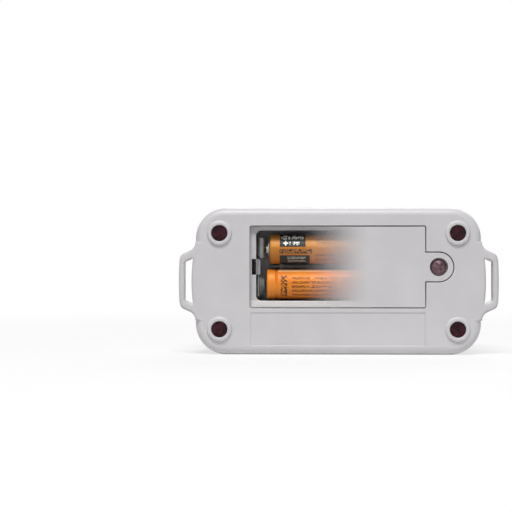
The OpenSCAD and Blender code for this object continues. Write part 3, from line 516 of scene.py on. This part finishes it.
# %% Thread of the cover screw: a three-cornered ridge spun along a helix
screw_low, screw_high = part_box("cover_screw")
screw_axis = (screw_low + screw_high) / 2
shank_r = 1.25 * mm
turns = 5
pitch = 2 * math.pi / abs(frame["record"]["behaviour"]["couplings"][0]["ratio"])
ridge_w, ridge_h, sunk, per_turn = 0.5 * mm, 0.13 * mm, 0.03 * mm, 24
bare_tip = 0.7 * mm
start_y = screw_high.y - bare_tip - turns * pitch
ridge = bmesh.new()
corners = [(shank_r - sunk, -ridge_w / 2), (shank_r + ridge_h, 0), (shank_r - sunk, ridge_w / 2)]
profile = [ridge.verts.new((screw_axis.x + reach, start_y + rise, screw_axis.z)) for reach, rise in corners]
first = ridge.faces.new(profile)
spun = bmesh.ops.spin(ridge, geom=list(first.edges), cent=(screw_axis.x, 0, screw_axis.z), axis=(0, -1, 0),
                      dvec=(0, pitch / per_turn, 0), angle=2 * math.pi * turns, steps=per_turn * turns)
last = [item for item in spun["geom_last"] if isinstance(item, bmesh.types.BMEdge)]
bmesh.ops.contextual_create(ridge, geom=last)
piece("cover_screw_thread", "cover_screw", ridge, screw_finish.material)

# %% Dark mask printed round the window, between two rounded outlines
window_low, window_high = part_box("display_window")
gasket_low, gasket_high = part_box("display_gasket")
mask_finish = moulded("mask_ink_dark", ink(46, 50, 56), grain=0.2 * mm, pit=0.001 * mm, roughness=0.35,
                      edge=0.02 * mm)


def rounded_loop(sheet, low, high, radius, level, steps=8):
    """A closed loop of vertices round a rectangle with round corners, at one y level."""
    ring = []
    for turn, (sx, sz) in enumerate(((1, 1), (-1, 1), (-1, -1), (1, -1))):
        corner_x = (high.x if sx > 0 else low.x) - sx * radius
        corner_z = (high.z if sz > 0 else low.z) - sz * radius
        for step in range(steps + 1):
            angle = math.radians(90 * (turn + step / steps))
            across, height = radius * math.cos(angle), radius * math.sin(angle)
            ring.append(sheet.verts.new((corner_x + across, level, corner_z + height)))
    return [sheet.edges.new((ring[i - 1], ring[i])) for i in range(len(ring))]


edge_room = Vector((0.15 * mm, 0, 0.15 * mm))
sight_room = Vector((1.6 * mm, 0, 1.6 * mm))
mask = bmesh.new()
mask_t = 0.02 * mm
mask_y = window_low.y + mask_t
outer = rounded_loop(mask, window_low + edge_room, window_high - edge_room, 1.8 * mm, mask_y)
inner = rounded_loop(mask, gasket_low + sight_room, gasket_high - sight_room, 1.0 * mm, mask_y)
bmesh.ops.bridge_loops(mask, edges=outer + inner)
bmesh.ops.solidify(mask, geom=mask.faces[:], thickness=mask_t)
piece("window_mask", "case", mask, mask_finish.material)

# %% Display segments: a reading in seven-segment digits, seen from the front
glass_low, glass_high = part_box("lcd_glass")
glass_mid = (glass_low + glass_high) / 2
segment_t = 0.01 * mm
segment_finish = moulded("segment_dark", ink(38, 44, 42), grain=0.1 * mm, pit=0.001 * mm, roughness=0.3,
                         edge=0.01 * mm)


def segment(sheet, right, up, length, width, upright):
    """A long hexagon, placed from the glass's middle: right and up as a reader in front sees them."""
    made = bmesh.ops.create_circle(sheet, cap_ends=True, segments=6, radius=1.0)["verts"]
    for vert in made:
        tip = abs(vert.co.y) > 0.9
        reach = math.copysign(length / 2 - (0 if tip else width / 2), vert.co.y)
        rise = 0 if tip else math.copysign(width / 2, vert.co.x)
        across, height = (rise, reach) if upright else (reach, rise)
        vert.co = (glass_mid.x - right - across, glass_high.y + segment_t, glass_mid.z + up + height)


def digit(sheet, figure, right, up, wide, tall, width):
    """One figure made of up to seven segments."""
    lit = {"2": "abged", "3": "abgcd", "5": "afgcd", "C": "afed", "0": "abcdef"}[figure]
    places = {"a": (0, 1, 0), "g": (0, 0, 0), "d": (0, -1, 0), "b": (1, 0.5, 1), "c": (1, -0.5, 1),
              "f": (-1, 0.5, 1), "e": (-1, -0.5, 1)}
    for letter in lit:
        side, level, upright = places[letter]
        length = (tall / 2 if upright else wide) - 0.25 * width
        segment(sheet, right + side * wide / 2, up + level * tall / 2, length, width, upright)


digits = bmesh.new()
for place, figure in enumerate("235"):
    digit(digits, figure, (-14 + 10.5 * place) * mm, -1 * mm, 6.2 * mm, 13 * mm, 1.3 * mm)
segment(digits, 1.75 * mm, -7.6 * mm, 1.5 * mm, 1.4 * mm, False)
digit(digits, "C", 17 * mm, 2.6 * mm, 3.2 * mm, 5.6 * mm, 0.7 * mm)
digit(digits, "0", 13 * mm, 4.6 * mm, 1.0 * mm, 1.6 * mm, 0.4 * mm)
for level in range(3):
    segment(digits, (15.2 + 1.6 * level) * mm, -7.0 * mm, 2.6 * mm, 1.0 * mm, True)
bmesh.ops.solidify(digits, geom=digits.faces[:], thickness=segment_t)
piece("display_segments", "case", digits, segment_finish.material)

# %% [markdown]
# ## Floor, light and camera
#
# The logger stands on a plain pale floor in front of white. A large soft lamp high in front models the
# rounded edges and leaves the bay in shade, a weaker and lower one lifts the flat faces, a third lights
# the side with the display, and the world adds a little even light. What the camera, mirrors and glass see
# past the floor is plain white. Near the logger the floor throws back much light and brightens the case's
# lower edge. Farther off it throws back little, though it is shown white.

# %% Floor
floor_mesh = bpy.data.meshes.new("floor")
sheet = bmesh.new()
bmesh.ops.create_circle(sheet, cap_ends=True, segments=96, radius=1.6)
sheet.to_mesh(floor_mesh)
sheet.free()
floor = bpy.data.objects.new("floor", floor_mesh)
bpy.context.scene.collection.objects.link(floor)

floor_finish = Finish("floor_pale")
grain = floor_finish.noise(30 * mm, 4)
floor_tone = floor_finish.mix(grain, (0.84, 0.84, 0.84), (0.88, 0.88, 0.88))
place = floor_finish.place()
reach = floor_finish.node("ShaderNodeVectorMath", {"operation": "LENGTH"}, {0: place}, "Value")
bright_within, dull_beyond = 100 * mm, 350 * mm
far = reach.ease(bright_within, dull_beyond)
ray = floor_finish.node("ShaderNodeLightPath", output="Is Camera Ray")
mirrored = floor_finish.node("ShaderNodeLightPath", output="Is Glossy Ray")
through = floor_finish.node("ShaderNodeLightPath", output="Is Transmission Ray")
seen = ray.either(mirrored).either(through)
floor_tone = floor_finish.mix(far * (1 - seen), floor_tone, (0.2, 0.2, 0.2))
floor_finish.surface(base_color=floor_tone, roughness=0.9, specular_ior_level=0.1)
white = floor_finish.node("ShaderNodeEmission", {}, {"Color": (1, 1, 1), "Strength": 1.0})
blend = floor_finish.node("ShaderNodeMixShader", {}, {
    0: seen * (0.7 + far * 0.3), 1: Wire(floor_finish, floor_finish.shader.outputs[0]), 2: white})
floor_finish.put(floor_finish.tree.nodes["Material Output"].inputs["Surface"], blend)
floor_mesh.materials.append(floor_finish.material)

# %% Lamps and world
def lamp(name, place, size, watts):
    light = bpy.data.lights.new(name, "AREA")
    light.shape = "RECTANGLE"
    light.size, light.size_y = size
    light.energy = watts
    holder = bpy.data.objects.new(name, light)
    holder.location = place
    holder.rotation_euler = (centre - Vector(place)).to_track_quat("-Z", "Y").to_euler()
    bpy.context.scene.collection.objects.link(holder)


lamp("key_lamp", (-0.08, -0.46, 0.86), (0.5, 0.3), 8.4)
lamp("front_lamp", (0.1, -0.74, 0.6), (0.5, 0.3), 0.9)
lamp("back_lamp", (0.2, 0.7, 0.7), (0.7, 0.5), 3.5)

world = bpy.data.worlds.new("studio")
bpy.context.scene.world = world
world.use_nodes = True
sky = world.node_tree
paths = sky.nodes.new("ShaderNodeLightPath")
seen_ways = [paths.outputs[kind] for kind in ("Is Camera Ray", "Is Glossy Ray", "Is Transmission Ray")]
join = seen_ways[0]
for way in seen_ways[1:]:
    higher = sky.nodes.new("ShaderNodeMath")
    higher.operation = "MAXIMUM"
    sky.links.new(join, higher.inputs[0])
    sky.links.new(way, higher.inputs[1])
    join = higher.outputs[0]
ambient = 0.035
level = sky.nodes.new("ShaderNodeMapRange")
level.inputs["To Min"].default_value = ambient
level.inputs["To Max"].default_value = 1.0
sky.links.new(join, level.inputs["Value"])
sky.nodes["Background"].inputs["Color"].default_value = (1, 1, 1, 1)
sky.links.new(level.outputs[0], sky.nodes["Background"].inputs["Strength"])

# %% Camera, a little to the right of the point that it looks at, as in the photograph
camera_data = bpy.data.cameras.new("camera")
camera = bpy.data.objects.new("camera", camera_data)
bpy.context.scene.collection.objects.link(camera)
bpy.context.scene.camera = camera
stand_off = 400 * mm
aside = 10 * mm
view_width = 179.4 * mm
aim = Vector((centre.x - 28.8 * mm, back_y, centre.z + 8.85 * mm))
camera_data.sensor_width = 36
camera_data.lens = camera_data.sensor_width * stand_off / view_width
camera_data.clip_start = 0.01
camera.location = aim + Vector((aside, -stand_off, 0))
camera.rotation_euler = (aim - camera.location).to_track_quat("-Z", "Y").to_euler()
bpy.context.scene.view_settings.view_transform = "Standard"
